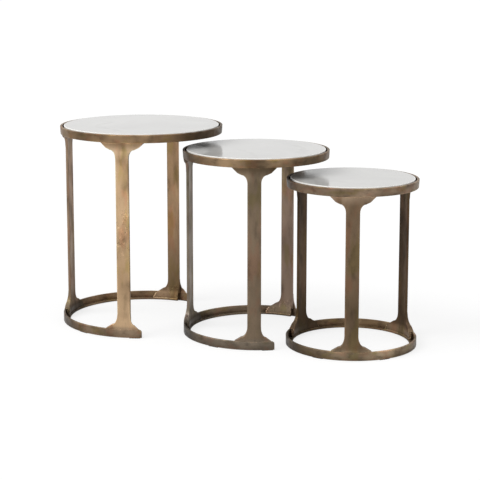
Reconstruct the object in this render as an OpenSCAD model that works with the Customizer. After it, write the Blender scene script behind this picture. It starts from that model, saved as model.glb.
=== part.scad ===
// Nest of three round side tables. Each table is a marble disc in a cast rim, carried by three flat
// legs that stand on a base ring. The large and the medium base rings are open on the +X side, so
// the next smaller table slides in under the top. The floor is z = 0 and the row runs along +X.

/* [Large table] */
// Outer diameter of the large table
large_d = 457.2; // [450:0.2:480]
// Height of the large rim's top edge above the floor
large_h = 561; // [500:1:620]
// Direction of the front leg, in degrees from +X
large_front_at = -74.8; // [-78:0.2:-74]
// Direction of the back leg
large_back_at = 94.4; // [92:0.2:98]
// Direction of the side leg
large_side_at = 191.1; // [186:0.2:196]
// How far the base ring runs past the front leg's edge before it ends
large_front_reach = 31; // [24:1:32]
// How far the base ring runs past the back leg's edge before it ends
large_back_reach = 28; // [20:1:32]

/* [Medium table] */
// Outer diameter of the medium table
medium_d = 402; // [390:1:404]
// How far the medium table is lower than the large one
medium_drop = 48; // [42:1:60]
// Direction of the front leg
medium_front_at = -66.4; // [-70:0.2:-64]
// Direction of the back leg
medium_back_at = 86.6; // [84:0.2:90]
// Direction of the side leg
medium_side_at = 190; // [184:0.5:196]
// How far the base ring runs past the front leg's edge before it ends
medium_front_reach = 36; // [28:1:38]
// How far the base ring runs past the back leg's edge before it ends
medium_back_reach = 10; // [8:1:14]
// Distance along +X from the large table's centre to the medium table's centre
medium_pull = 354.8; // [300:0.2:420]
// Distance along +Y from the large table's centre to the medium table's centre
medium_side = 4.8; // [4:0.1:5.5]

/* [Small table] */
// Outer diameter of the small table
small_d = 352.4; // [340:0.2:354]
// How far the small table is lower than the medium one
small_drop = 59; // [42:1:70]
// Direction of the front leg
small_front_at = -68.3; // [-75:0.1:-60]
// Direction of the right leg
small_right_at = 53; // [46:0.5:60]
// Direction of the left leg
small_left_at = 167; // [160:0.5:174]
// Distance along +X from the medium table's centre to the small table's centre
small_pull = 284.9; // [260:0.1:340]
// Distance along +Y from the medium table's centre to the small table's centre
small_side = -3; // [-6:0.5:6]

/* [Rim and top] */
// Height of the rim
rim_h = 22; // [18:0.5:28]
// Thickness of the rim's wall
rim_wall = 6.5; // [5:0.5:8]
// How much the rim's outer face leans in towards its lower edge
rim_draft = 1.2; // [0.4:0.2:2]
// Bevel along the rim's edges
rim_ease = 0.8; // [0.4:0.1:1.2]
// Width of the ledge under the marble, from the rim's outer face
ledge_w = 30; // [28:1:38]
// Thickness of the ledge
ledge_t = 6; // [5:0.5:7]
// Gap around the marble
marble_gap = 3.8; // [1:0.2:5]
// How far the marble stands above the rim
marble_proud = 2; // [0.5:0.5:4]
// Radius of the marble's polished edge
marble_ease = 2.6; // [0.6:0.2:3.4]
// Thickness of the pads that the marble lies on
pad_t = 1; // [0.5:0.1:1.5]
// Diameter of the pads
pad_d = 10; // [6:1:12]

/* [Legs] */
// Width of a leg
leg_w = 36.5; // [34:0.5:38]
// Thickness of a leg
leg_t = 8; // [7:0.5:8.5]
// Distance from the rim's outer face in to the leg's outer face
leg_inset = 4.5; // [3:0.5:5]
// Bevel along the leg's outer edges
leg_bevel = 2.6; // [1:0.2:3]
// Spread of the leg's head on each side, at the rim
head_reach = 41; // [34:1:44]
// Height of the leg's spreading head
head_h = 42; // [34:1:46]
// Height of the head's shoulder, below the rim
shoulder_h = 14; // [10:1:16]
// Height over which the head swells out to the rim
head_swell_h = 29; // [24:1:32]
// Height of the screw boss behind the head
boss_h = 16; // [14:0.5:16]
// Spread of the leg's foot on each side, on the base ring
foot_reach = 34; // [26:1:38]
// Height of the leg's spreading foot above the base ring
foot_h = 40; // [32:1:46]
// Height over which the foot swells out to the base ring
foot_swell_h = 41; // [36:1:48]
// Width of the lug under a foot beside an open end, inside the base ring
lug_w = 30; // [28:1:32]
// Distance from the base ring's inner edge back to the lugs
lug_setback = 3.5; // [0.5:0.5:4]

/* [Base ring] */
// Height of the base ring with the glides
base_h = 24; // [20:0.5:28]
// Thickness of the base ring's wall
base_wall = 5; // [4.5:0.5:6]
// Width of the base ring's flange, from its outer face
flange_w = 19; // [18:0.5:20]
// Thickness of the flange
flange_t = 3.5; // [3:0.5:4.5]
// Radius of the upper corner where an open base ring ends
corner_r = 8; // [4:1:9]
// Thickness of the glides under the base ring
glide_t = 1.5; // [1:0.1:2]
// Width of the glides
glide_w = 4; // [3:0.2:4.4]
// Length of each glide
glide_l = 30; // [16:1:36]
// Number of glides under each ring
glide_count = 6; // [4:1:8]

/* [Screws] */
// Thread diameter of the screws in the rim
top_screw_d = 5; // [4:0.5:5]
// Length of the screws in the rim
top_screw_l = 13; // [10:0.5:13]
// Thread diameter of the screws in the feet
foot_screw_d = 4; // [3:0.5:4]
// Length of the screws in the feet
foot_screw_l = 14; // [10:0.5:18]
// Distance from each screw to the middle of the leg
screw_offset = 9.5; // [9:0.5:10]
// Gap between a screw and its hole
screw_gap = 0.1; // [0.05:0.01:0.2]
// Gap between the foot's lug and the base ring
lug_gap = 0.1; // [0.05:0.05:0.3]

/* [Hidden] */

$fn = 128;

// How far shapes run on past the surface that trims them, and past the surface that they cut
over = 3;
past = 1;
// Reach of the prisms that cut across a rim or a ring, inside and outside it
rim_inside = 60;
rim_outside = 10;

// The origin is at the middle of the row's bounding box, on the floor
large_r = large_d / 2;
row_length = large_r + medium_pull + small_pull + small_d / 2;
medium_h = large_h - medium_drop;
small_h = medium_h - small_drop;
large_x = large_r - row_length / 2;
medium_x = large_x + medium_pull;
small_x = medium_x + small_pull;
small_y = medium_side + small_side;

// Each foot is [direction, reach towards -angle, reach towards +angle, side of the ring's open end]
LARGE_FEET = [[large_front_at, foot_reach, large_front_reach - end_corner(large_front_reach), 1],
              [large_back_at, large_back_reach - end_corner(large_back_reach), foot_reach, -1],
              [large_side_at, foot_reach, foot_reach, 0]];
MEDIUM_FEET = [[medium_front_at, foot_reach, medium_front_reach - end_corner(medium_front_reach), 1],
               [medium_back_at, medium_back_reach - end_corner(medium_back_reach), foot_reach, -1],
               [medium_side_at, foot_reach, foot_reach, 0]];
SMALL_FEET = [[small_front_at, foot_reach, foot_reach, 0],
              [small_right_at, foot_reach, foot_reach, 0],
              [small_left_at, foot_reach, foot_reach, 0]];

// Each table is [centre, outer radius, height, feet, [front reach, back reach] or [] when closed]
LARGE = [[large_x, 0], large_r, large_h, LARGE_FEET, [large_front_reach, large_back_reach]];
MEDIUM = [[medium_x, medium_side], medium_d / 2, medium_h, MEDIUM_FEET,
          [medium_front_reach, medium_back_reach]];
SMALL = [[small_x, small_y], small_d / 2, small_h, SMALL_FEET, []];

function centre(table) = table[0];
function radius(table) = table[1];
function rim_top(table) = table[2];
function rim_base(table) = table[2] - rim_h;
function feet(table) = table[3];
function reaches(table) = table[4];
function is_open(table) = len(reaches(table)) > 0;

// The corner of an open end is rounded, but by no more than a part of its reach
function end_corner(reach) = min(corner_r, reach * 0.45);

marble_z = -rim_h + ledge_t + pad_t;
marble_chamfer = 1;
// Angle from each leg to the pads on either side of it
pad_spread = 40;

leg_back = leg_inset + leg_t;
// The boss is deeper at the ledge than it is high, less this much
boss_taper = 2.5;
boss_w = boss_h - boss_taper;
// Across and up the head: the hollow below it and the width down to its shoulder
hollow_w = head_reach * 0.37;
hollow_h = head_h * 0.54;
shoulder_w = head_reach * 0.65;
// Across and up the foot: its hollow
foot_hollow = 0.47;
foot_hollow_h = foot_h * 0.7;
// The bevels along a leg narrow down to nothing over this height
bevel_run_out = 12;
bevel_in = leg_bevel * 1.2;

// Heights of the lug's front and crest above the base ring, and of its inner edge below it
lug_front_h = 6;
lug_crest_h = 26;
lug_inner_drop = 2;
lug_crest_inset = 2;
lug_crest_w = leg_back - lug_crest_inset;
lug_depth = flange_w - lug_setback;
// The lug's outline lies this far within the foot's, and below the ring's top it slopes out by this
lug_inset = 1;
lug_spread = 13;
// A foot beside an open end is this much deeper than the ring's wall, from a step off the leg's edge
relief_extra = 1;
relief_w = base_wall + relief_extra;
relief_step = 0.5;

flange_top = glide_t + flange_t;
// What is left of the flange where an open ring has none
lip_w = 0.4;
glide_inset = 1;

// From the leg's back to the screws in the rim
rim_screw_inset = 4;
rim_screw_r = leg_back + rim_screw_inset;
foot_screw_r = (base_wall + lug_gap + lug_depth) / 2;
rim_head_d = 2 * top_screw_d;
foot_head_d = 1.8 * foot_screw_d;
// Depth and width of a screw's six-sided recess, as parts of its diameter
recess_depth = 0.4;
recess_w = 0.6;

metal_large = [0.60, 0.48, 0.35];
metal_medium = [0.47, 0.39, 0.30];
metal_small = [0.41, 0.33, 0.25];
marble_white = [0.88, 0.87, 0.86];
steel_grey = [0.45, 0.45, 0.46];
pad_clear = [0.80, 0.80, 0.80];
glide_black = [0.10, 0.10, 0.10];

// Points along part of an ellipse, from angle a0 to angle a1
function arc(cx, cy, rx, ry, a0, a1, steps) =
    [for (i = [0:steps]) let (a = a0 + (a1 - a0) * i / steps) [cx + rx * cos(a), cy + ry * sin(a)]];

// A smooth step from 0 to 1
function ease(t) = (1 - cos(180 * t)) / 2;

// Direction, from a table's centre, of a point beside a leg's middle line
function beside(table, direction, offset) = direction + asin(offset / radius(table));

// Directions in which an open base ring starts and ends, counted anticlockwise
function ring_start(table) =
    beside(table, feet(table)[1][0], -leg_w / 2 - reaches(table)[1]);
function ring_end(table) =
    beside(table, feet(table)[0][0], leg_w / 2 + reaches(table)[0]) + 360;

// The flange stops under the lugs of the two end legs, so that the opening is at its widest
function flange_start(table) = beside(table, feet(table)[1][0], -lug_w / 2 - past);
function flange_end(table) = beside(table, feet(table)[0][0], lug_w / 2 + past) + 360;

module at(table) translate(concat(centre(table), [0])) children();

// Revolves a profile between two directions
module revolve(from, to) rotate([0, 0, from]) rotate_extrude(angle = to - from) children();

// Revolves a profile all the way round, with its seam on the far side from +X
module full_turn() rotate([0, 0, 180]) rotate_extrude() children();

// Draws children in a leg's own frame: +X points outwards and +Y runs along the rim
module leg_frame(table, direction) at(table) rotate([0, 0, direction]) children();

// Extrudes an outline, given along the rim and upwards, outwards through the rim
module through_rim(table) translate([radius(table) - rim_inside, 0, 0]) rotate([90, 0, 90])
    linear_extrude(rim_inside + rim_outside) children();

// ---- Top ----

module top_ring(table) {
    r = radius(table);
    top = rim_top(table);
    base = rim_base(table);
    at(table) difference() {
        rotate_extrude() polygon([
            [r - rim_draft - rim_ease, base], [r - rim_draft, base + rim_ease],
            [r, top - rim_ease], [r - rim_ease, top],
            [r - rim_wall + rim_ease, top], [r - rim_wall, top - rim_ease],
            [r - rim_wall, base + ledge_t], [r - ledge_w, base + ledge_t], [r - ledge_w, base]]);
        for (foot = feet(table)) rotate([0, 0, foot[0]]) rim_screw_places(table)
            countersunk_hole(top_screw_d, rim_head_d, top_screw_l);
    }
}

module marble_top(table) {
    r = radius(table) - rim_wall - marble_gap;
    top = rim_top(table) + marble_proud;
    base = rim_top(table) + marble_z;
    at(table) rotate_extrude() polygon(concat(
        [[0, base], [r - marble_chamfer, base], [r, base + marble_chamfer]],
        arc(r - marble_ease, top - marble_ease, marble_ease, marble_ease, 0, 90, 4),
        [[0, top]]));
}

// The pads lie on the ledge, midway between the leg screws
module marble_pads(table) {
    pad_r = radius(table) - (rim_wall + ledge_w) / 2 - marble_chamfer;
    at(table) for (foot = feet(table), side = [-1, 1])
        rotate([0, 0, foot[0] + side * pad_spread])
            translate([pad_r, 0, rim_base(table) + ledge_t]) cylinder(h = pad_t, d = pad_d);
}

// ---- Legs ----

// Half outline of a leg's head beside the leg's edge: hollow below, then a sloping shoulder
function head_side(top) = concat(
    arc(leg_w / 2 + hollow_w, top - head_h, hollow_w, hollow_h, 180, 90, 6),
    [[leg_w / 2 + shoulder_w, top - shoulder_h], [leg_w / 2 + head_reach, top],
     [leg_w / 2 + head_reach, top + over]]);

// Half outline of a leg's foot beside the leg's edge, from the base ring upwards
function foot_side(reach) = concat(
    [[leg_w / 2 + reach, base_h - over], [leg_w / 2 + reach, base_h]],
    arc(leg_w / 2 + reach * foot_hollow, base_h + foot_h, reach * foot_hollow, foot_hollow_h,
        270, 180, 6));

module leg_outline(table, foot) {
    top = rim_base(table);
    right = concat(foot_side(foot[2]), head_side(top));
    left = concat(foot_side(foot[1]), head_side(top));
    polygon(concat(right, [for (i = [len(left) - 1:-1:0]) [-left[i].x, left[i].y]]));
}

// Radial profile of a leg: the outer face swells out to the rim above and to the base ring below
module leg_profile(table) {
    r = radius(table);
    top = rim_base(table);
    steps = 5;
    low = [for (i = [0:steps]) let (t = i / steps)
        [r - leg_inset * ease(t), base_h + foot_swell_h * t]];
    high = [for (i = [0:steps]) let (t = i / steps)
        [r - leg_inset + (leg_inset - rim_draft - rim_ease) * ease(t), top - head_swell_h * (1 - t)]];
    polygon(concat(low, high, [
        [r - leg_back - boss_w, top], [r - leg_back - boss_w, top - boss_h + boss_w],
        [r - leg_back, top - boss_h], [r - leg_back, base_h]]));
}

// Half outline of a lug, from below: it slopes in up to the ring's top and then follows the foot
function lug_side(reach) = let (side = foot_side(reach - lug_inset))
    concat([[leg_w / 2 + reach + lug_spread, 0]], [for (i = [1:len(side) - 1]) side[i]]);

// Beside an open end the lug is plain and narrow
function open_lug_side() = [[lug_w / 2, 0], [lug_w / 2, base_h + foot_h]];

// The lug stands inside the base ring, on its flange
module foot_lug(table, foot) {
    r = radius(table);
    inner = r - lug_depth;
    outer = r - base_wall - lug_gap;
    right = foot[3] > 0 ? open_lug_side() : lug_side(foot[2]);
    left = foot[3] < 0 ? open_lug_side() : lug_side(foot[1]);
    intersection() {
        full_turn() polygon([
            [outer, flange_top], [outer, base_h + lug_front_h],
            [r - lug_crest_w, base_h + lug_crest_h],
            [inner, base_h - lug_inner_drop], [inner, flange_top]]);
        through_rim(table) polygon(concat(right,
            [for (i = [len(left) - 1:-1:0]) [-left[i].x, left[i].y]]));
    }
}

// The bevels run out just short of the head and the foot
module leg_bevels(table) {
    r = radius(table) - leg_inset;
    tool = leg_bevel * sqrt(2);
    low = base_h + foot_h;
    high = rim_base(table) - head_h;
    for (side = [-1, 1]) intersection() {
        translate([r, side * leg_w / 2, low]) rotate([0, 0, 45])
            translate([-tool / 2, -tool / 2, 0]) cube([tool, tool, high - low]);
        through_rim(table) polygon([for (p = [
            [leg_w / 2 + over, low], [leg_w / 2, low], [leg_w / 2 - bevel_in, low + bevel_run_out],
            [leg_w / 2 - bevel_in, high - bevel_run_out], [leg_w / 2, high],
            [leg_w / 2 + over, high]]) [side * p.x, p.y]]);
    }
}

// Beside an open end the foot is no thicker than the ring, so that the next table passes it
module foot_relief(table, side) {
    mirror([0, side < 0 ? 1 : 0, 0]) intersection() {
        translate([0, 0, base_h - past]) cylinder(h = foot_h + over, r = radius(table) - relief_w);
        translate([radius(table) - rim_inside, leg_w / 2 + relief_step, base_h - over])
            cube([rim_inside, large_r / 4, foot_h + 2 * over]);
    }
}

module leg(table, foot) {
    leg_frame(table, foot[0]) difference() {
        union() {
            intersection() {
                full_turn() leg_profile(table);
                through_rim(table) leg_outline(table, foot);
            }
            foot_lug(table, foot);
        }
        leg_bevels(table);
        if (foot[3] != 0) foot_relief(table, foot[3]);
        rim_screw_places(table) countersunk_hole(top_screw_d, rim_head_d, top_screw_l);
        foot_screw_places(table) countersunk_hole(foot_screw_d, foot_head_d, foot_screw_l);
    }
}

// ---- Base ring ----

// The shape beyond an open ring's end, with the rounded upper corner, on the +Y side of its leg
module end_cut(table, reach) {
    corner = end_corner(reach);
    edge = leg_w / 2 + reach;
    far = edge + large_r / 8;
    rounding = arc(edge - corner, base_h - corner, corner, corner, 78, 0, 6);
    through_rim(table) polygon(concat([[rounding[0].x, base_h + past]], rounding,
        [[edge, -past], [far, -past], [far, base_h + past]]));
}

module base_profile(table) {
    r = radius(table);
    polygon([[r, glide_t], [r, base_h - rim_ease], [r - rim_ease, base_h], [r - base_wall, base_h],
             [r - base_wall, flange_top], [r - flange_w, flange_top], [r - flange_w, glide_t]]);
}

// A wedge of space from the table's middle outwards, between two directions
module wedge(table, from, to) {
    r = 1.5 * radius(table);
    linear_extrude(2 * base_h, center = true) polygon(concat([[0, 0]],
        [for (i = [0:3]) let (a = from + (to - from) * i / 3) [r * cos(a), r * sin(a)]]));
}

module base_ring(table) {
    at(table) difference() {
        full_turn() base_profile(table);
        if (is_open(table)) {
            wedge(table, ring_end(table) - 360 + over, ring_start(table) - over);
            intersection() {
                wedge(table, flange_end(table) - 360, flange_start(table));
                cylinder(h = base_h - past, r = radius(table) - base_wall - lip_w);
            }
            rotate([0, 0, feet(table)[0][0]]) end_cut(table, reaches(table)[0]);
            rotate([0, 0, feet(table)[1][0]]) mirror([0, 1, 0]) end_cut(table, reaches(table)[1]);
        }
        for (foot = feet(table)) rotate([0, 0, foot[0]]) foot_screw_places(table)
            countersunk_hole(foot_screw_d, foot_head_d, foot_screw_l);
    }
}

// Glides are curved strips under the ring's wall, spread over its whole length
module glides(table) {
    r = radius(table);
    half = asin(glide_l / 2 / r);
    first = is_open(table) ? ring_start(table) + half + glide_inset
        : feet(table)[0][0] + 180 / glide_count;
    last = is_open(table) ? ring_end(table) - half - glide_inset
        : first + 360 * (1 - 1 / glide_count);
    at(table) for (i = [0:glide_count - 1]) {
        middle = first + (last - first) * i / (glide_count - 1);
        revolve(middle - half, middle + half) polygon([
            [r - (base_wall + glide_w) / 2, 0], [r - (base_wall - glide_w) / 2, 0],
            [r - (base_wall - glide_w) / 2, glide_t], [r - (base_wall + glide_w) / 2, glide_t]]);
    }
}

// ---- Screws ----

// Places of the two screws through the ledge into a leg's head, pointing down
module rim_screw_places(table) for (side = [-1, 1])
    translate([radius(table) - rim_screw_r, side * screw_offset, rim_base(table) + ledge_t])
        rotate([180, 0, 0]) children();

// Places of the two screws through the flange into a leg's foot, pointing up
module foot_screw_places(table) for (side = [-1, 1])
    translate([radius(table) - foot_screw_r, side * screw_offset, glide_t]) children();

// A countersunk screw whose head is flush with z = 0 and whose thread points along +Z
module screw(d, head_d, length) difference() {
    union() {
        cylinder(h = (head_d - d) / 2, d1 = head_d, d2 = d);
        cylinder(h = length, d = d);
    }
    translate([0, 0, -past]) cylinder(h = past + recess_depth * d, d = recess_w * d, $fn = 6);
}

module countersunk_hole(d, head_d, length) {
    hole_d = d + 2 * screw_gap;
    hole_head_d = head_d + 2 * screw_gap;
    cylinder(h = (head_d - d) / 2, d1 = hole_head_d, d2 = hole_d);
    translate([0, 0, -past]) cylinder(h = past, d = hole_head_d);
    cylinder(h = length + screw_gap, d = hole_d);
}

module rim_screws(table) for (foot = feet(table)) leg_frame(table, foot[0])
    rim_screw_places(table) screw(top_screw_d, rim_head_d, top_screw_l);

module foot_screws(table) for (foot = feet(table)) leg_frame(table, foot[0])
    foot_screw_places(table) screw(foot_screw_d, foot_head_d, foot_screw_l);

// ---- The pieces ----

module large_top_ring() color(metal_large) top_ring(LARGE);
module large_marble_top() color(marble_white) marble_top(LARGE);
module large_marble_pads() color(pad_clear) marble_pads(LARGE);
module large_front_leg() color(metal_large) leg(LARGE, feet(LARGE)[0]);
module large_back_leg() color(metal_large) leg(LARGE, feet(LARGE)[1]);
module large_side_leg() color(metal_large) leg(LARGE, feet(LARGE)[2]);
module large_base_ring() color(metal_large) base_ring(LARGE);
module large_glides() color(glide_black) glides(LARGE);
module large_rim_screws() color(steel_grey) rim_screws(LARGE);
module large_foot_screws() color(steel_grey) foot_screws(LARGE);

module medium_top_ring() color(metal_medium) top_ring(MEDIUM);
module medium_marble_top() color(marble_white) marble_top(MEDIUM);
module medium_marble_pads() color(pad_clear) marble_pads(MEDIUM);
module medium_front_leg() color(metal_medium) leg(MEDIUM, feet(MEDIUM)[0]);
module medium_back_leg() color(metal_medium) leg(MEDIUM, feet(MEDIUM)[1]);
module medium_side_leg() color(metal_medium) leg(MEDIUM, feet(MEDIUM)[2]);
module medium_base_ring() color(metal_medium) base_ring(MEDIUM);
module medium_glides() color(glide_black) glides(MEDIUM);
module medium_rim_screws() color(steel_grey) rim_screws(MEDIUM);
module medium_foot_screws() color(steel_grey) foot_screws(MEDIUM);

module small_top_ring() color(metal_small) top_ring(SMALL);
module small_marble_top() color(marble_white) marble_top(SMALL);
module small_marble_pads() color(pad_clear) marble_pads(SMALL);
module small_front_leg() color(metal_small) leg(SMALL, feet(SMALL)[0]);
module small_right_leg() color(metal_small) leg(SMALL, feet(SMALL)[1]);
module small_left_leg() color(metal_small) leg(SMALL, feet(SMALL)[2]);
module small_base_ring() color(metal_small) base_ring(SMALL);
module small_glides() color(glide_black) glides(SMALL);
module small_rim_screws() color(steel_grey) rim_screws(SMALL);
module small_foot_screws() color(steel_grey) foot_screws(SMALL);

large_top_ring();
large_marble_top();
large_marble_pads();
large_front_leg();
large_back_leg();
large_side_leg();
large_base_ring();
large_glides();
large_rim_screws();
large_foot_screws();
medium_top_ring();
medium_marble_top();
medium_marble_pads();
medium_front_leg();
medium_back_leg();
medium_side_leg();
medium_base_ring();
medium_glides();
medium_rim_screws();
medium_foot_screws();
small_top_ring();
small_marble_top();
small_marble_pads();
small_front_leg();
small_right_leg();
small_left_leg();
small_base_ring();
small_glides();
small_rim_screws();
small_foot_screws();
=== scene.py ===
"""Looks for a nest of three round side tables: aged brass castings with inset marble tops.

The CAD nodes keep their shapes and get procedural materials, and a lumpy weld bead is added
along each foot. Everything is in metres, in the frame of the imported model.
"""

import math

import bpy
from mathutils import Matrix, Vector, noise


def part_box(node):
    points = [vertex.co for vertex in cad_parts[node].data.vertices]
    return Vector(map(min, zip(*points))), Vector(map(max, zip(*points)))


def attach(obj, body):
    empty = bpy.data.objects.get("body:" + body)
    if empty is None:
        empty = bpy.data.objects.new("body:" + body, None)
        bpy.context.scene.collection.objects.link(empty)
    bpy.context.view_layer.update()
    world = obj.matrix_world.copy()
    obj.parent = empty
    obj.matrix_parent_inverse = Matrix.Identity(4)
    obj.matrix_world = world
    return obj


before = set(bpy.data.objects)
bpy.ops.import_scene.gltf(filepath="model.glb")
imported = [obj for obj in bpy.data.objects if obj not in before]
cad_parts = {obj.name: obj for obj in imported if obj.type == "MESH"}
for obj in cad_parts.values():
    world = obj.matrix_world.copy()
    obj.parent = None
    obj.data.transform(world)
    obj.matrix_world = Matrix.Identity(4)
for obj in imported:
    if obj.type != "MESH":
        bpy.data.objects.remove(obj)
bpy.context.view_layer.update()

MM = 0.001

# The camera, fitted to the photograph: angles in degrees, focal length and picture in pixels
CAMERA_AT = (1.7675, -3.6664, 1.1020)
CAMERA_AZIMUTH = 25.553
CAMERA_DOWN = 9.929
FOCAL_PIXELS = 1497.2
PICTURE = 480.0
SENSOR = 36.0
SHIFT_Y = -0.10

# The floor's half width, and how light it and the room around it are
FLOOR_HALF = 30.0
FLOOR_SHADE = 0.30
FLOOR_GLOW = 0.74
WORLD_LIGHT = 0.40
BACKDROP_LIGHT = 1.0
WHITE = (1.0, 1.0, 1.0, 1.0)

# What the brass is multiplied by in a stain, in a bright fleck (a painted glint), in a crack, in
# the painted shade of inner faces and hollows, and on a worn edge (partly a painted highlight)
RED_STAIN = (1.08, 0.84, 0.79)
GREEN_STAIN = (0.88, 0.92, 0.66)
FLECK = 1.45
CRACK = (0.36, 0.32, 0.28)
INNER_SHADE_TINT = (1.0, 0.92, 0.84)
HOLLOW = (0.26, 0.22, 0.18)
WORN_AND_HIGHLIGHT = (1.9, 1.85, 1.75)

# A leg darkens from this height down to the floor
LOW_END = 0.42
# Its head's painted highlight and shade starts and is full this far below its top, and turns into
# the painted highlight and shade of the head's sides between these distances from its middle
HEAD_STARTS = 50.0 * MM
HEAD_FULL = 26.0 * MM
HEAD_MIDDLE = 12.0 * MM
HEAD_SIDE = 30.0 * MM
# A leg's head is the part of it above this share of its height
HEAD_SHARE = 0.9
# A leg takes on the finish of its rings, with their painted highlight and shade, below its own
# top, and near the base ring's top
TOP_MEET = (-27.0 * MM, -1.0 * MM)
BASE_MEET = (12.0 * MM, -2.0 * MM)

# How far the painted shade of a hollow reaches, and how wide worn edges (partly a painted highlight)
# and rounded edges are
HOLLOW_REACH = 32.0 * MM
HOLLOW_SAMPLES = 8
WORN_AND_HIGHLIGHT_RADIUS = 4.5 * MM
EDGE_RADIUS = 2.4 * MM
BEVEL_SAMPLES = 6

# Heights are multiplied by this for the blotches, which draws them out along a leg and
# flattens them on a ring
ALONG_LEG = 0.35
ON_RING = 1.6
ON_WELD = 1.0

# A marble's painted edge highlight starts and is full this far in from its rim
EDGE_HIGHLIGHT_STARTS = 3.2 * MM
EDGE_HIGHLIGHT_FULL = 1.6 * MM

# A bead's step between rings of points and the length of one ripple, and how much ripples, lumps
# and its two ends change its thickness
WELD_STEP = 1.2 * MM
WELD_RIPPLE = 5.5 * MM
RIPPLE_DEPTH = 0.16
LUMP_DEPTH = 0.35
LUMPS_PER_METRE = 160.0
END_SIZE = 0.4
BEAD_SIDES = 10
# Corners of half a bead, from up the foot's end down to the flange, each in mm: along the ring
# from the leg's middle, in from the ring's outer face, height above the flange (or, where it is
# below 0, above the base ring's top), and thickness
WELD_CORNERS = [(49.0, 9.5, -3.5, 3.4), (55.0, 10.0, -8.0, 4.8), (62.0, 12.0, 2.0, 2.6),
                (59.0, 16.2, 0.8, 1.8)]
# The same on the side where the base ring is open and has no flange, and which side that is
OPEN_CORNERS = [(14.0, 16.0, 0.8, 1.3)]
OPEN_SIDES = {"large_front_leg": 1, "large_back_leg": -1, "medium_front_leg": 1, "medium_back_leg": -1}


def srgb(r, g, b):
    """A colour given as 0 to 255 becomes the linear colour that Blender works in."""
    def linear(v):
        v /= 255.0
        return v / 12.92 if v <= 0.04045 else ((v + 0.055) / 1.055) ** 2.4
    return (linear(r), linear(g), linear(b), 1.0)


# Where each table's blotches start in the noise
SEEDS = {"large": 0.0, "medium": 3.1, "small": 5.3}
SMALL_LEG_TONES = (srgb(126, 105, 83), srgb(98, 81, 62), srgb(52, 44, 34))
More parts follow.
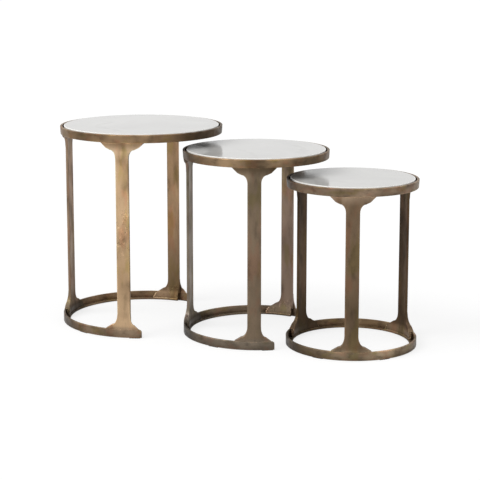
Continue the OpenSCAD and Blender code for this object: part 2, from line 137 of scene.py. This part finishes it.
# "tones" are light, middle and dark, and differ from part to part of the one brass partly as
# painted light and shade; most of the rest is what they are multiplied by: "inside" on inner
# faces, as painted shade (painted light where it is above 1), "low" at a leg's foot, "head" along
# the middle and on the sides of a leg's head, as painted highlight and shade, and "around" a ring,
# as painted highlight and shade, given as [direction in degrees from +X, factor]. "scarred" is no
# factor, but gives the heights between which a leg is rough
FINISHES_AND_PAINTED_LIGHT = {
    "large_top_ring": {
        "tones": (srgb(140, 114, 86), srgb(112, 92, 70), srgb(62, 52, 38)),
        "inside": 0.5,
        "around": [(-180, 0.8), (-110, 0.9), (-75, 2.1), (-57, 1.9), (-48, 1.2), (-25, 0.47),
                   (0, 0.4), (180, 0.85)],
    },
    "large_front_leg": {
        "tones": (srgb(231, 195, 154), srgb(203, 169, 131), srgb(120, 98, 70)),
        "inside": 0.4,
        "low": 0.77,
        "head": (1.3, (1.35, 1.45, 1.65)),
        "scarred": (0.20, 0.38),
    },
    "large_back_leg": {
        "tones": (srgb(238, 205, 169), srgb(209, 178, 144), srgb(104, 84, 60)),
        "inside": 0.95,
        "low": 0.3,
        "head": (1.0, 1.0),
        "scarred": (-0.02, 0.06),
    },
    "large_side_leg": {
        "tones": (srgb(190, 167, 145), srgb(156, 136, 117), srgb(74, 64, 55)),
        "inside": 0.92,
        "low": 0.66,
        "head": (0.8, 1.3),
    },
    "large_base_ring": {
        "tones": (srgb(166, 143, 118), srgb(132, 112, 90), srgb(70, 56, 42)),
        "inside": 0.85,
        "around": [(-180, 0.5), (-165, 0.2), (-130, 0.34), (-112, 0.78), (-60, 1.05), (0, 1.1),
                   (90, 1.35), (150, 1.5), (180, 0.5)],
    },
    "medium_top_ring": {
        "tones": (srgb(137, 114, 88), srgb(108, 91, 70), srgb(54, 46, 34)),
        "inside": 0.5,
        "around": [(-180, 0.7), (-135, 0.68), (-108, 0.95), (-88, 1.7), (-66, 0.8), (-46, 1.8),
                   (-30, 0.95), (0, 0.7), (180, 0.7)],
    },
    "medium_front_leg": {
        "tones": (srgb(141, 122, 101), srgb(115, 100, 82), srgb(62, 52, 40)),
        "inside": 0.5,
        "low": 0.88,
        "head": (0.7, 1.7),
    },
    "medium_back_leg": {
        "tones": (srgb(169, 151, 138), srgb(141, 125, 114), srgb(76, 64, 54)),
        "inside": 1.25,
        "low": 0.7,
        "head": (1.0, 1.0),
        "scarred": (-0.02, 0.06),
    },
    "medium_side_leg": {
        "tones": (srgb(152, 143, 132), srgb(126, 118, 108), srgb(68, 61, 55)),
        "inside": 0.98,
        "head": (0.8, 1.3),
    },
    "medium_base_ring": {
        "tones": (srgb(147, 133, 116), srgb(116, 105, 91), srgb(60, 52, 44)),
        "inside": 0.85,
        "around": [(-180, 0.5), (-165, 0.22), (-130, 0.26), (-112, 0.75), (-95, 1.1), (-60, 0.85),
                   (0, 0.95), (90, 1.2), (150, 1.3), (180, 0.5)],
    },
    "small_top_ring": {
        "tones": (srgb(146, 125, 104), srgb(112, 95, 77), srgb(56, 48, 38)),
        "inside": 0.5,
        "around": [(-180, 0.5), (-135, 0.55), (-115, 1.0), (-95, 0.85), (-68, 1.5), (-45, 1.3),
                   (-20, 1.1), (180, 0.6)],
    },
    "small_front_leg": {
        "tones": SMALL_LEG_TONES,
        "inside": 0.5,
        "head": (0.7, 1.5),
    },
    "small_right_leg": {
        "tones": SMALL_LEG_TONES,
        "inside": 0.72,
        "head": (0.8, 1.3),
    },
    "small_left_leg": {
        "tones": SMALL_LEG_TONES,
        "inside": 0.7,
        "head": (0.8, 1.3),
    },
    "small_base_ring": {
        "tones": (srgb(157, 138, 114), srgb(123, 105, 83), srgb(54, 46, 36)),
        "inside": 1.05,
        "around": [(-180, 0.4), (-155, 0.18), (-130, 0.28), (-108, 0.72), (-84, 1.1), (-65, 0.9),
                   (-40, 1.6), (-15, 1.0), (12, 0.52), (50, 1.3), (110, 1.35), (180, 0.4)],
    },
}

# The beads that differ from their base ring: lighter at the back feet, as a painted highlight
WELDS = {
    "large_back_leg": {
        "tones": (srgb(226, 196, 160), srgb(178, 150, 120), srgb(84, 68, 50)),
        "inside": 1.3,
    },
    "medium_back_leg": {
        "tones": (srgb(206, 184, 160), srgb(150, 130, 110), srgb(70, 58, 48)),
        "inside": 1.3,
    },
}


class Nodes:
    """A short way to write the node tree of a material or a world."""

    def __init__(self, owner, output="ShaderNodeOutputMaterial"):
        owner.use_nodes = True
        self.tree = owner.node_tree
        self.tree.nodes.clear()
        self.output = self.add(output)

    def add(self, kind, **settings):
        node = self.tree.nodes.new(kind)
        for key, value in settings.items():
            setattr(node, key, value)
        return node

    def link(self, source, target):
        self.tree.links.new(source, target)

    def put(self, socket, value):
        """Links value to socket if it is a socket, and sets it there if not."""
        if isinstance(value, bpy.types.NodeSocket):
            self.link(value, socket)
        else:
            socket.default_value = value

    def fill(self, node, **sockets):
        """Links or sets a node's inputs, named with _ for a space."""
        for key, value in sockets.items():
            self.put(node.inputs[key.replace("_", " ")], value)
        return node

    def place(self):
        """The place in the frame's metres: every object is at the origin and its mesh holds its place."""
        return self.add("ShaderNodeTexCoord").outputs["Object"]

    def parts(self, vector):
        """The x, y and z of a vector."""
        node = self.add("ShaderNodeSeparateXYZ")
        self.link(vector, node.inputs[0])
        return node.outputs["X"], node.outputs["Y"], node.outputs["Z"]

    def vector(self, operation, *inputs):
        """A step of vector arithmetic, whose result is a vector."""
        return self.vector_node(operation, inputs).outputs["Vector"]

    def measure(self, operation, *inputs):
        """A step of vector arithmetic, whose result is a number."""
        return self.vector_node(operation, inputs).outputs["Value"]

    def vector_node(self, operation, inputs):
        node = self.add("ShaderNodeVectorMath", operation=operation)
        for socket, value in zip(node.inputs, inputs):
            self.put(socket, value)
        return node

    def stretch(self, vector, x, y, z):
        return self.vector("MULTIPLY", vector, (x, y, z))

    def math(self, operation, a, b=0.0):
        node = self.add("ShaderNodeMath", operation=operation)
        self.put(node.inputs[0], a)
        self.put(node.inputs[1], b)
        return node.outputs[0]

    def noise(self, vector, scale, detail, roughness, distortion=0.0):
        node = self.add("ShaderNodeTexNoise")
        self.fill(node, Vector=vector, Scale=scale, Detail=detail, Roughness=roughness)
        return self.fill(node, Distortion=distortion).outputs["Fac"]

    def voronoi(self, vector, scale):
        node = self.add("ShaderNodeTexVoronoi")
        return self.fill(node, Vector=vector, Scale=scale).outputs["Distance"]

    def bands(self, vector, **sockets):
        node = self.add("ShaderNodeTexWave", wave_type="BANDS", bands_direction="DIAGONAL")
        return self.fill(node, Vector=vector, **sockets).outputs["Fac"]

    def spread(self, value, low, high, to_low=0.0, to_high=1.0):
        """Smoothly from to_low where value is low to to_high where it is high, and level beyond."""
        node = self.add("ShaderNodeMapRange", interpolation_type="SMOOTHSTEP")
        self.fill(node, Value=value, From_Min=low, From_Max=high)
        return self.fill(node, To_Min=to_low, To_Max=to_high).outputs["Result"]

    def spread_evenly(self, value, low, high):
        node = self.add("ShaderNodeMapRange")
        return self.fill(node, Value=value, From_Min=low, From_Max=high).outputs["Result"]

    def mix(self, factor, a, b, blend="MIX"):
        node = self.add("ShaderNodeMix", data_type="RGBA", blend_type=blend, clamp_result=True)
        return self.fill(node, Factor=factor, A=a, B=b).outputs["Result"]

    def times(self, tone, factor):
        """The tone brightened or darkened by a number, a colour or a socket."""
        if isinstance(factor, float):
            factor = (factor, factor, factor)
        if isinstance(factor, tuple):
            factor += (1.0,)
        return self.mix(1.0, tone, factor, "MULTIPLY")

    def turn_to(self, factor, tone, change):
        """The tone multiplied by change as far as factor says."""
        return self.mix(factor, tone, self.times(tone, change))

    def bump(self, height, strength, distance, normal=None):
        node = self.fill(self.add("ShaderNodeBump"), Strength=strength, Distance=distance, Height=height)
        if normal is not None:
            self.link(normal, node.inputs["Normal"])
        return node.outputs["Normal"]

    def surface(self, **sockets):
        shader = self.fill(self.add("ShaderNodeBsdfPrincipled"), **sockets)
        self.link(shader.outputs["BSDF"], self.output.inputs["Surface"])


def from_axis(n, centre):
    """The level way out from a table's upright axis, and how far its surface faces that way."""
    coordinates = n.add("ShaderNodeTexCoord")
    level = n.stretch(coordinates.outputs["Object"], 1.0, 1.0, 0.0)
    away = n.vector("SUBTRACT", level, centre)
    facing = n.measure("DOT_PRODUCT", n.vector("NORMALIZE", away), coordinates.outputs["Normal"])
    return away, facing


def around(n, away, stops):
    """Painted highlight and shade in brighter and darker stretches of a ring, as [direction in degrees,
    strength] from -180 up.
    """
    x, y = n.parts(away)[:2]
    ramp = n.add("ShaderNodeValToRGB")
    ramp.color_ramp.interpolation = "EASE"
    while len(ramp.color_ramp.elements) < len(stops):
        ramp.color_ramp.elements.new(0.5)
    for element, (direction, strength) in zip(ramp.color_ramp.elements, stops):
        element.position = (direction + 180.0) / 360.0
        element.color = (strength, strength, strength, 1.0)
    n.link(n.spread_evenly(n.math("ARCTAN2", y, x), -math.pi, math.pi), ramp.inputs["Fac"])
    return ramp.outputs["Color"]


def rounded(n, radius):
    """The normal that the edges would have if they were rounded."""
    edges = n.add("ShaderNodeBevel", samples=BEVEL_SAMPLES)
    return n.fill(edges, Radius=radius).outputs["Normal"]


def near_edge(n, radius):
    """1 along the edges, where a rounded normal leaves the true one."""
    true = n.add("ShaderNodeNewGeometry").outputs["True Normal"]
    same = n.measure("DOT_PRODUCT", rounded(n, radius), true)
    return n.spread(same, 0.995, 0.90)


def ground(n, tones, broad, patches):
    """Light and middle tones in broad clouds, with patches of the dark one."""
    light, middle, dark = tones
    tone = n.mix(n.spread(broad, 0.34, 0.66), middle, light)
    return n.mix(n.spread(patches, 0.50, 0.78, to_high=0.5), tone, dark)


def painted_head_light(n, head, place, height, tone):
    """The head of a leg, brightened or darkened along its middle and on its spreading sides as painted
    highlight and shade.
    """
    centre_tone, flank_tone, middle, top = head
    aside = n.measure("DISTANCE", n.stretch(place, 1.0, 1.0, 0.0), middle)
    side = n.spread(aside, HEAD_MIDDLE, HEAD_SIDE)
    # Painted highlight and shade on the head
    head_light = n.mix(side, n.times(tone, centre_tone), n.times(tone, flank_tone))
    return n.mix(n.spread(height, top - HEAD_STARTS, top - HEAD_FULL), tone, head_light)


def base_tone(n, finish_and_light, place, away, broad, patches):
    """A casting's tone along its ring or up its leg, with painted highlight and shade round a ring and on
    a leg's head, and where a leg meets its rings.
    """
    height = n.parts(place)[2]
    tone = ground(n, finish_and_light["tones"], broad, patches)
    if "around" in finish_and_light:
        # Painted highlight and shade round a ring
        tone = n.times(tone, around(n, away, finish_and_light["around"]))
    if "low" in finish_and_light:
        tone = n.turn_to(n.spread(height, 0.0, LOW_END, 1.0, 0.0), tone, finish_and_light["low"])
    if "head" in finish_and_light:
        tone = painted_head_light(n, finish_and_light["head"], place, height, tone)
    for tones, strength, start, end in finish_and_light.get("meets", ()):
        other = n.times(ground(n, tones, broad, patches), strength)
        tone = n.mix(n.spread(height, start, end), tone, other)
    return tone


def stained(n, place, grown, dark, tone):
    """Reddish and greenish stains, and a fine dark grain."""
    red = n.noise(grown, scale=31.0, detail=3.0, roughness=0.55)
    tone = n.turn_to(n.spread(red, 0.50, 0.66, to_high=0.6), tone, RED_STAIN)
    green = n.noise(grown, scale=27.0, detail=3.0, roughness=0.55)
    tone = n.turn_to(n.spread(green, 0.52, 0.66, to_high=0.75), tone, GREEN_STAIN)
    grain = n.noise(place, scale=420.0, detail=4.0, roughness=0.65)
    return n.mix(n.spread(grain, 0.52, 0.72, to_high=0.24), tone, dark)


def scarred(n, place, levels, tone):
    """Bright flecks, painted glints of the rough casting, and its thin dark cracks between two heights,
    in broken patches.
    """
    low, high = levels
    fade = 0.3 * (high - low)
    height = n.parts(place)[2]
    where = n.math("MULTIPLY", n.spread(height, low, low + fade),
                   n.spread(height, high - fade, high, 1.0, 0.0))
    broken = n.noise(place, scale=55.0, detail=3.0, roughness=0.5)
    where = n.math("MULTIPLY", where, n.spread(broken, 0.42, 0.56))
    flecks = n.noise(n.stretch(place, 1.0, 1.0, 0.6), scale=130.0, detail=4.0, roughness=0.6)
    # Bright flecks as painted glints
    tone = n.turn_to(n.math("MULTIPLY", where, n.spread(flecks, 0.53, 0.62)), tone, FLECK)
    cracks = n.noise(place, scale=95.0, detail=4.0, roughness=0.6)
    line = n.math("ABSOLUTE", n.math("SUBTRACT", cracks, 0.5))
    line = n.math("MULTIPLY", where, n.spread(line, 0.004, 0.016, 1.0, 0.0))
    return n.turn_to(line, tone, CRACK)


def shaded_and_worn(n, facing, inside, patches, tone):
    """Painted shade on inner faces (painted light where the factor is above 1) and in hollows, and worn
    bright along the outer edges, partly as a painted highlight.
    """
    up = n.parts(n.add("ShaderNodeTexCoord").outputs["Normal"])[2]
    outer = n.math("MAXIMUM", facing, up)
    inner_shade = tuple(inside * part for part in INNER_SHADE_TINT)
    # Inner faces multiplied by painted shade, which becomes painted light where the factor is above 1
    tone = n.turn_to(n.spread(outer, 0.15, 0.80, 1.0, 0.0), tone, inner_shade)
    # Painted shade in hollows, from ambient occlusion
    hollow = n.add("ShaderNodeAmbientOcclusion", samples=HOLLOW_SAMPLES)
    open_sky = n.fill(hollow, Distance=HOLLOW_REACH).outputs["AO"]
    tone = n.turn_to(n.spread(open_sky, 0.25, 0.92, 0.9, 0.0), tone, HOLLOW)
    # Edges worn bright, partly as a painted highlight
    wear_and_highlight = n.math("MULTIPLY", n.spread(patches, 0.40, 0.60, 1.0, 0.45), n.spread(outer, 0.2, 0.7))
    return n.turn_to(n.math("MULTIPLY", near_edge(n, WORN_AND_HIGHLIGHT_RADIUS), wear_and_highlight), tone, WORN_AND_HIGHLIGHT)


def cast_skin(n, place, broad):
    """The normal of a cast skin: rounded edges, soft swells, wrinkles in places, grain and pits."""
    swell = n.noise(place, scale=38.0, detail=2.0, roughness=0.5)
    wrinkles = n.noise(n.stretch(place, 1.0, 1.0, 6.0), scale=60.0, detail=2.0, roughness=0.6)
    wrinkles = n.math("MULTIPLY", wrinkles, n.spread(broad, 0.5, 0.62))
    grain = n.noise(place, scale=230.0, detail=4.0, roughness=0.6)
    pits = n.spread(n.voronoi(place, scale=300.0), 0.0, 0.3)
    normal = n.bump(swell, strength=0.6, distance=1.5 * MM, normal=rounded(n, EDGE_RADIUS))
    normal = n.bump(wrinkles, strength=0.5, distance=0.8 * MM, normal=normal)
    normal = n.bump(grain, strength=0.4, distance=0.25 * MM, normal=normal)
    return n.bump(pits, strength=0.25, distance=0.2 * MM, normal=normal)


def cast_metal(name, finish_and_light, centre, seed, drawn):
    """Aged brass: a soft blotchy brown over a cast skin, with painted shade inside and in hollows,
    painted highlight and shade round rings and on heads, and edges worn bright, partly as a painted
    highlight.
    """
    material = bpy.data.materials.new(name)
    n = Nodes(material)
    place = n.place()
    grown = n.vector("ADD", n.stretch(place, 1.0, 1.0, drawn), (seed, seed * 0.7, seed * 1.3))
    away, facing = from_axis(n, centre)
    broad = n.noise(grown, scale=12.0, detail=3.0, roughness=0.5)
    patches = n.noise(grown, scale=40.0, detail=4.0, roughness=0.55)
    tone = base_tone(n, finish_and_light, place, away, broad, patches)
    tone = stained(n, place, grown, finish_and_light["tones"][2], tone)
    if "scarred" in finish_and_light:
        tone = scarred(n, place, finish_and_light["scarred"], tone)
    tone = shaded_and_worn(n, facing, finish_and_light["inside"], patches, tone)
    rough = n.spread(patches, 0.3, 0.7, 0.34, 0.48)
    bare = n.spread(patches, 0.35, 0.65, 0.45, 0.20)
    n.surface(Base_Color=tone, Metallic=bare, Roughness=rough, Normal=cast_skin(n, place, broad),
              Specular_IOR_Level=0.08)
    return material


def marble(name, centre, radius):
    """Polished white marble: a pale grey ground with soft clouds, thin broken veins, and a painted
    highlight along its edge.
    """
    material = bpy.data.materials.new(name)
    n = Nodes(material)
    place = n.place()
    clouds = n.noise(place, scale=6.0, detail=5.0, roughness=0.6, distortion=0.8)
    tone = n.mix(n.spread(clouds, 0.35, 0.70), srgb(194, 193, 190), srgb(186, 185, 183))
    veins = n.bands(place, Scale=2.2, Distortion=9.0, Detail=5.0, Detail_Scale=1.3)
    broken = n.noise(place, scale=5.0, detail=4.0, roughness=0.6)
    line = n.math("MULTIPLY", n.spread(veins, 0.90, 0.995), n.spread(broken, 0.45, 0.62))
    tone = n.mix(n.math("MULTIPLY", line, 0.22), tone, srgb(160, 157, 153))
    fine = n.noise(place, scale=180.0, detail=4.0, roughness=0.6)
    tone = n.mix(n.spread(fine, 0.4, 0.7, to_high=0.10), tone, srgb(188, 186, 184))
    distance = n.measure("LENGTH", from_axis(n, centre)[0])
    # Painted highlight along the marble's edge
    edge = n.spread(distance, radius - EDGE_HIGHLIGHT_STARTS, radius - EDGE_HIGHLIGHT_FULL)
    tone = n.mix(edge, tone, srgb(246, 244, 240))
    rough = n.spread(clouds, 0.3, 0.7, 0.10, 0.16)
    normal = n.bump(fine, strength=0.02, distance=0.05 * MM)
    n.surface(Base_Color=tone, Roughness=rough, Normal=normal, IOR=1.5)
    return material


def clear_pad(name):
    """Soft clear plastic with a slight haze."""
    material = bpy.data.materials.new(name)
    n = Nodes(material)
    haze = n.noise(n.place(), scale=500.0, detail=2.0, roughness=0.5)
    tone = n.mix(haze, srgb(225, 226, 224), srgb(205, 207, 206))
    n.surface(Base_Color=tone, Roughness=n.spread(haze, 0.3, 0.7, 0.25, 0.4), IOR=1.45)
    return material


def dark_rubber(name):
    """Dull dark rubber with a fine grain."""
    material = bpy.data.materials.new(name)
    n = Nodes(material)
    grain = n.noise(n.place(), scale=700.0, detail=3.0, roughness=0.6)
    tone = n.mix(grain, srgb(26, 25, 24), srgb(44, 42, 40))
    normal = n.bump(grain, strength=0.3, distance=0.1 * MM)
    n.surface(Base_Color=tone, Roughness=n.spread(grain, 0.3, 0.7, 0.6, 0.8), Normal=normal)
    return material


def screw_steel(name):
    """Bright steel with fine marks round it."""
    material = bpy.data.materials.new(name)
    n = Nodes(material)
    marks = n.noise(n.stretch(n.place(), 1.0, 1.0, 6.0), scale=600.0, detail=3.0, roughness=0.6)
    tone = n.mix(marks, srgb(150, 148, 145), srgb(110, 106, 100))
    rough = n.spread(marks, 0.3, 0.7, 0.28, 0.42)
    normal = n.bump(marks, strength=0.2, distance=0.05 * MM)
    n.surface(Base_Color=tone, Metallic=1.0, Roughness=rough, Normal=normal)
    return material


def dress(node, material):
    node.data.materials.clear()
    node.data.materials.append(material)


def middle_of(name):
    """The middle of a node, on the floor."""
    low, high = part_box(name)
    return ((low[0] + high[0]) / 2, (low[1] + high[1]) / 2, 0.0)


def radius_of(name):
    low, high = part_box(name)
    return (high[0] - low[0]) / 2


def top_of(name):
    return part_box(name)[1][2]


def strength_at(stops, direction):
    """The strength of a ring's painted highlight and shade in one direction."""
    for (before, low), (after, high) in zip(stops, stops[1:]):
        if before <= direction <= after:
            return low + (high - low) * (direction - before) / (after - before)
    return 1.0


def leg_direction(name, centre):
    """Where a leg stands around its table, from its head, which is even on both sides."""
    top = top_of(name)
    head = [v.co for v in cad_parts[name].data.vertices if v.co.z > HEAD_SHARE * top]
    x = sum(co.x for co in head) / len(head) - centre[0]
    y = sum(co.y for co in head) / len(head) - centre[1]
    return math.degrees(math.atan2(y, x))


def meets_for(name, table, centre):
    """A leg runs over into its rings' finish, as [tones, strength, start, end] for each ring, the
    strength being the ring's painted highlight and shade where the leg stands.
    """
    direction = leg_direction(name, centre)
    joints = (("_top_ring", top_of(name), TOP_MEET),
              ("_base_ring", top_of(table + "_base_ring"), BASE_MEET))
    meets = []
    for ring, level, (start, end) in joints:
        other = FINISHES_AND_PAINTED_LIGHT[table + ring]
        strength = strength_at(other["around"], direction)
        meets.append((other["tones"], strength, level + start, level + end))
    return meets


def metal_for(name):
    """The casting's finish, partly painted light and shade, differs from part to part, and runs on over
    their joints.
    """
    table, piece = name.split("_", 1)
    centre = middle_of(table + "_marble_top")
    finish_and_light = dict(FINISHES_AND_PAINTED_LIGHT[name])
    drawn = ON_RING
    if piece.endswith("leg"):
        drawn = ALONG_LEG
        finish_and_light["head"] = finish_and_light["head"] + (middle_of(name), top_of(name))
        finish_and_light["meets"] = meets_for(name, table, centre)
    return cast_metal("cast_brass_" + name, finish_and_light, centre, SEEDS[table], drawn)


def marble_for(name):
    table = name.split("_")[0]
    return marble("white_marble_" + table, middle_of(name), radius_of(name))


def dress_tables():
    """Every CAD node gets the material that its name calls for."""
    others = {
        "marble_pads": clear_pad("clear_pads"),
        "glides": dark_rubber("dark_glides"),
        "rim_screws": screw_steel("steel_screws"),
    }
    others["foot_screws"] = others["rim_screws"]
    for name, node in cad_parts.items():
        piece = name.split("_", 1)[1]
        if piece == "marble_top":
            dress(node, marble_for(name))
        else:
            dress(node, others.get(piece) or metal_for(name))


def weld_corners(name, base_top):
    """The corners of a foot's bead from one end of the foot to the other, in metres."""
    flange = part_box(name)[0][2]
    halves = []
    for side in (1, -1):
        corners = OPEN_CORNERS if side == OPEN_SIDES.get(name) else WELD_CORNERS
        half = []
        for along, inset, height, thick in corners:
            level = flange if height > 0 else base_top
            half.append((side * along * MM, inset * MM, level + height * MM, thick * MM))
        halves.append(half)
    return halves[0] + halves[1][::-1]


def weld_path(name, centre, radius, base_top):
    """The middle line of a foot's bead in short even steps, as [place, thickness]."""
    angle = math.radians(leg_direction(name, centre))
    corners = []
    for along, inset, z, thick in weld_corners(name, base_top):
        out = radius - inset
        corners.append((math.atan2(along, math.sqrt(out ** 2 - along ** 2)), out, z, thick))
    path = []
    for here, there in zip(corners, corners[1:]):
        length = math.hypot((there[0] - here[0]) * radius, there[2] - here[2])
        steps = max(1, round(length / WELD_STEP))
        for i in range(steps):
            turn, r, z, thick = (a + (b - a) * i / steps for a, b in zip(here, there))
            x = centre[0] + r * math.cos(angle + turn)
            y = centre[1] + r * math.sin(angle + turn)
            path.append((Vector((x, y, z)), thick))
    return path


def bead_ring(path, i):
    """The points round one place of a bead, as thick as its ripples and lumps make it there."""
    last = len(path) - 1
    place, thick = path[i]
    along = (path[min(i + 1, last)][0] - path[max(i - 1, 0)][0]).normalized()
    out = along.cross(Vector((0.0, 0.0, 1.0))).normalized()
    up = out.cross(along)
    ripple = 1.0 + RIPPLE_DEPTH * math.sin(i * WELD_STEP / WELD_RIPPLE * 2.0 * math.pi)
    lump = LUMP_DEPTH * noise.noise(place * LUMPS_PER_METRE)
    size = thick * (ripple + lump) * (END_SIZE if i in (0, last) else 1.0)
    turns = [2.0 * math.pi * k / BEAD_SIDES for k in range(BEAD_SIDES)]
    return [place + size * (math.cos(turn) * out + math.sin(turn) * up) for turn in turns]


def bead_faces(rings):
    """The faces between the rings of points, and the two ends."""
    faces = []
    for start in range(0, (rings - 1) * BEAD_SIDES, BEAD_SIDES):
        for k in range(BEAD_SIDES):
            here = start + k
            beside = start + (k + 1) % BEAD_SIDES
            faces.append([here, beside, beside + BEAD_SIDES, here + BEAD_SIDES])
    first = list(range(BEAD_SIDES))
    last = [(rings - 1) * BEAD_SIDES + k for k in range(BEAD_SIDES)]
    return faces + [first[::-1], last]


def mesh_object(name, points, faces):
    mesh = bpy.data.meshes.new(name)
    mesh.from_pydata(points, [], faces)
    piece = bpy.data.objects.new(name, mesh)
    bpy.context.scene.collection.objects.link(piece)
    return piece


def weld_bead(name, path):
    """A lumpy bead: rings of points round a path, closed at both ends."""
    points = [point for i in range(len(path)) for point in bead_ring(path, i)]
    bead = mesh_object(name, points, bead_faces(len(path)))
    for polygon in bead.data.polygons:
        polygon.use_smooth = len(polygon.vertices) == 4
    return bead


def add_welds():
    """A bead along each leg's foot, on the base ring's flange and up the ends of the foot."""
    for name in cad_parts:
        if not name.endswith("leg"):
            continue
        table = name.split("_")[0]
        centre = middle_of(table + "_marble_top")
        path = weld_path(name, centre, radius_of(table + "_top_ring"), top_of(table + "_base_ring"))
        bead = weld_bead(name.replace("leg", "weld"), path)
        finish_and_light = WELDS.get(name) or FINISHES_AND_PAINTED_LIGHT[table + "_base_ring"]
        dress(bead, cast_metal("weld_" + name, finish_and_light, centre, SEEDS[table], ON_WELD))
        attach(bead, table + "_table")


def seen_directly(n):
    """1 for the rays that see the background: from the camera, off a shiny surface, through glass."""
    path = n.add("ShaderNodeLightPath")
    first = n.math("MAXIMUM", path.outputs["Is Camera Ray"], path.outputs["Is Glossy Ray"])
    return n.math("MAXIMUM", first, path.outputs["Is Transmission Ray"])


def add_floor():
    """A plain pale floor that is white where it is lit and still takes the object's shadow."""
    material = bpy.data.materials.new("floor")
    n = Nodes(material)
    shade = n.fill(n.add("ShaderNodeBsdfDiffuse"), Color=(FLOOR_SHADE, FLOOR_SHADE, FLOOR_SHADE, 1.0))
    light = n.math("MULTIPLY", seen_directly(n), FLOOR_GLOW)
    glow = n.fill(n.add("ShaderNodeEmission"), Strength=light)
    both = n.add("ShaderNodeAddShader")
    n.link(shade.outputs["BSDF"], both.inputs[0])
    n.link(glow.outputs["Emission"], both.inputs[1])
    n.link(both.outputs["Shader"], n.output.inputs["Surface"])
    corners = [(-1, -1), (1, -1), (1, 1), (-1, 1)]
    points = [(x * FLOOR_HALF, y * FLOOR_HALF, 0) for x, y in corners]
    floor = mesh_object("floor", points, [(0, 1, 2, 3)])
    dress(floor, material)


def add_world():
    """A soft even light, and a white room for the rays that see it."""
    world = bpy.data.worlds.new("studio")
    bpy.context.scene.world = world
    n = Nodes(world, "ShaderNodeOutputWorld")
    light = n.fill(n.add("ShaderNodeBackground"), Color=WHITE, Strength=WORLD_LIGHT)
    backdrop = n.fill(n.add("ShaderNodeBackground"), Color=WHITE, Strength=BACKDROP_LIGHT)
    mix = n.add("ShaderNodeMixShader")
    n.link(seen_directly(n), mix.inputs["Fac"])
    n.link(light.outputs["Background"], mix.inputs[1])
    n.link(backdrop.outputs["Background"], mix.inputs[2])
    n.link(mix.outputs["Shader"], n.output.inputs["Surface"])


def add_sun(name, towards, spread, strength):
    """A broad soft light from far off, which reaches the floor evenly; its spread is in degrees."""
    data = bpy.data.lights.new(name, "SUN")
    data.angle = math.radians(spread)
    data.energy = strength
    lamp = bpy.data.objects.new(name, data)
    lamp.rotation_euler = Vector(towards).to_track_quat("-Z", "Y").to_euler()
    bpy.context.scene.collection.objects.link(lamp)


def add_lights():
    add_sun("key", towards=(0.75, 0.85, -1.0), spread=40.0, strength=1.5)
    add_sun("top", towards=(-0.15, 0.25, -1.0), spread=70.0, strength=0.9)


def add_camera():
    data = bpy.data.cameras.new("camera")
    data.sensor_width = SENSOR
    data.lens = FOCAL_PIXELS * SENSOR / PICTURE
    data.shift_y = SHIFT_Y
    camera = bpy.data.objects.new("camera", data)
    camera.location = CAMERA_AT
    camera.rotation_euler = (math.radians(90.0 - CAMERA_DOWN), 0.0, math.radians(CAMERA_AZIMUTH))
    bpy.context.scene.collection.objects.link(camera)
    bpy.context.scene.camera = camera
    bpy.context.scene.view_settings.view_transform = "Standard"


dress_tables()
add_welds()
add_floor()
add_world()
add_lights()
add_camera()
